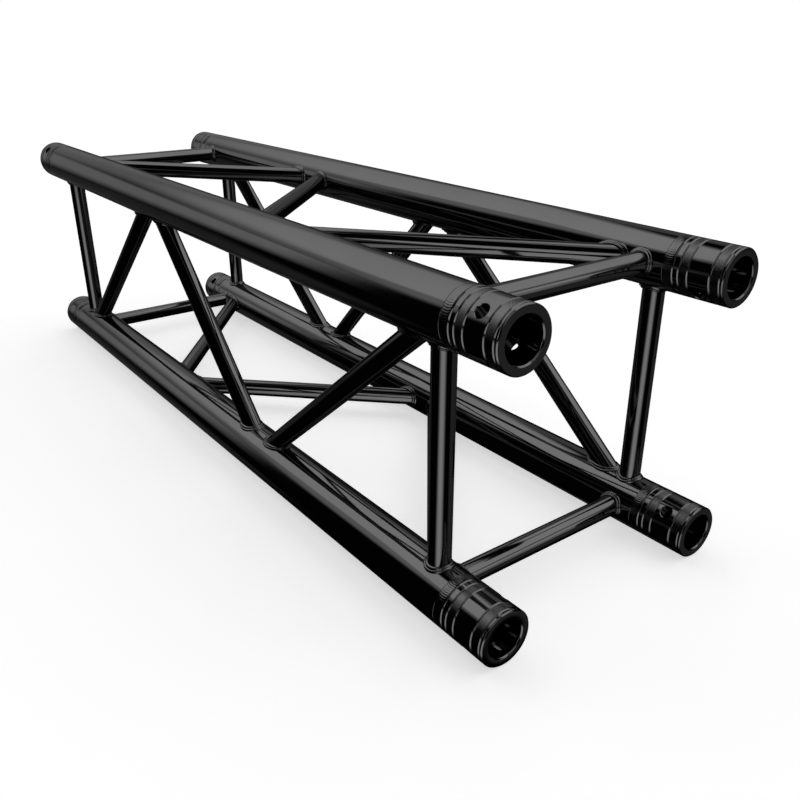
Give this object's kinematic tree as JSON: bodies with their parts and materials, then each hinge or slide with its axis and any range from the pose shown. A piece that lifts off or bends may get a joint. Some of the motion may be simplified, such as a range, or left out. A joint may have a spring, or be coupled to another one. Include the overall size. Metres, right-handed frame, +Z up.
{
  "type": "lighting truss section",
  "caption": "Straight square box truss section: chord tubes with welded straight and diagonal braces, and a tapered coupler socket at each chord end.",
  "frame": {"origin": "under the middle of the section, on the surface that its two lower chords lie on", "axes": "+X along the section towards its front end, +Y towards its right side, +Z up"},
  "size_m": [1, 0.29, 0.29],
  "materials": {
    "tube_coat": "satin black powder coat on extruded tube",
    "receiver_coat": "satin black powder coat on turned and knurled end fittings",
    "weld_coat": "satin black powder coat over rippled weld beads"
  },
  "bodies": {
    "root": {"chord_upper_left": "tube_coat", "receiver_upper_left_front": "receiver_coat", "end_weld_upper_left_front": "weld_coat", "receiver_upper_left_rear": "receiver_coat", "end_weld_upper_left_rear": "weld_coat", "chord_upper_right": "tube_coat", "receiver_upper_right_front": "receiver_coat", "end_weld_upper_right_front": "weld_coat", "receiver_upper_right_rear": "receiver_coat", "end_weld_upper_right_rear": "weld_coat", "chord_lower_right": "tube_coat", "receiver_lower_right_front": "receiver_coat", "end_weld_lower_right_front": "weld_coat", "receiver_lower_right_rear": "receiver_coat", "end_weld_lower_right_rear": "weld_coat", "chord_lower_left": "tube_coat", "receiver_lower_left_front": "receiver_coat", "end_weld_lower_left_front": "weld_coat", "receiver_lower_left_rear": "receiver_coat", "end_weld_lower_left_rear": "weld_coat", "brace_top_straight_rear": "tube_coat", "brace_top_diagonal_rear": "tube_coat", "brace_top_diagonal_middle": "tube_coat", "brace_top_diagonal_front": "tube_coat", "brace_top_straight_front": "tube_coat", "brace_right_straight_rear": "tube_coat", "brace_right_diagonal_rear": "tube_coat", "brace_right_diagonal_middle": "tube_coat", "brace_right_diagonal_front": "tube_coat", "brace_right_straight_front": "tube_coat", "brace_bottom_straight_rear": "tube_coat", "brace_bottom_diagonal_rear": "tube_coat", "brace_bottom_diagonal_middle": "tube_coat", "brace_bottom_diagonal_front": "tube_coat", "brace_bottom_straight_front": "tube_coat", "brace_left_straight_rear": "tube_coat", "brace_left_diagonal_rear": "tube_coat", "brace_left_diagonal_middle": "tube_coat", "brace_left_diagonal_front": "tube_coat", "brace_left_straight_front": "tube_coat"}
  },
  "joints": []
}
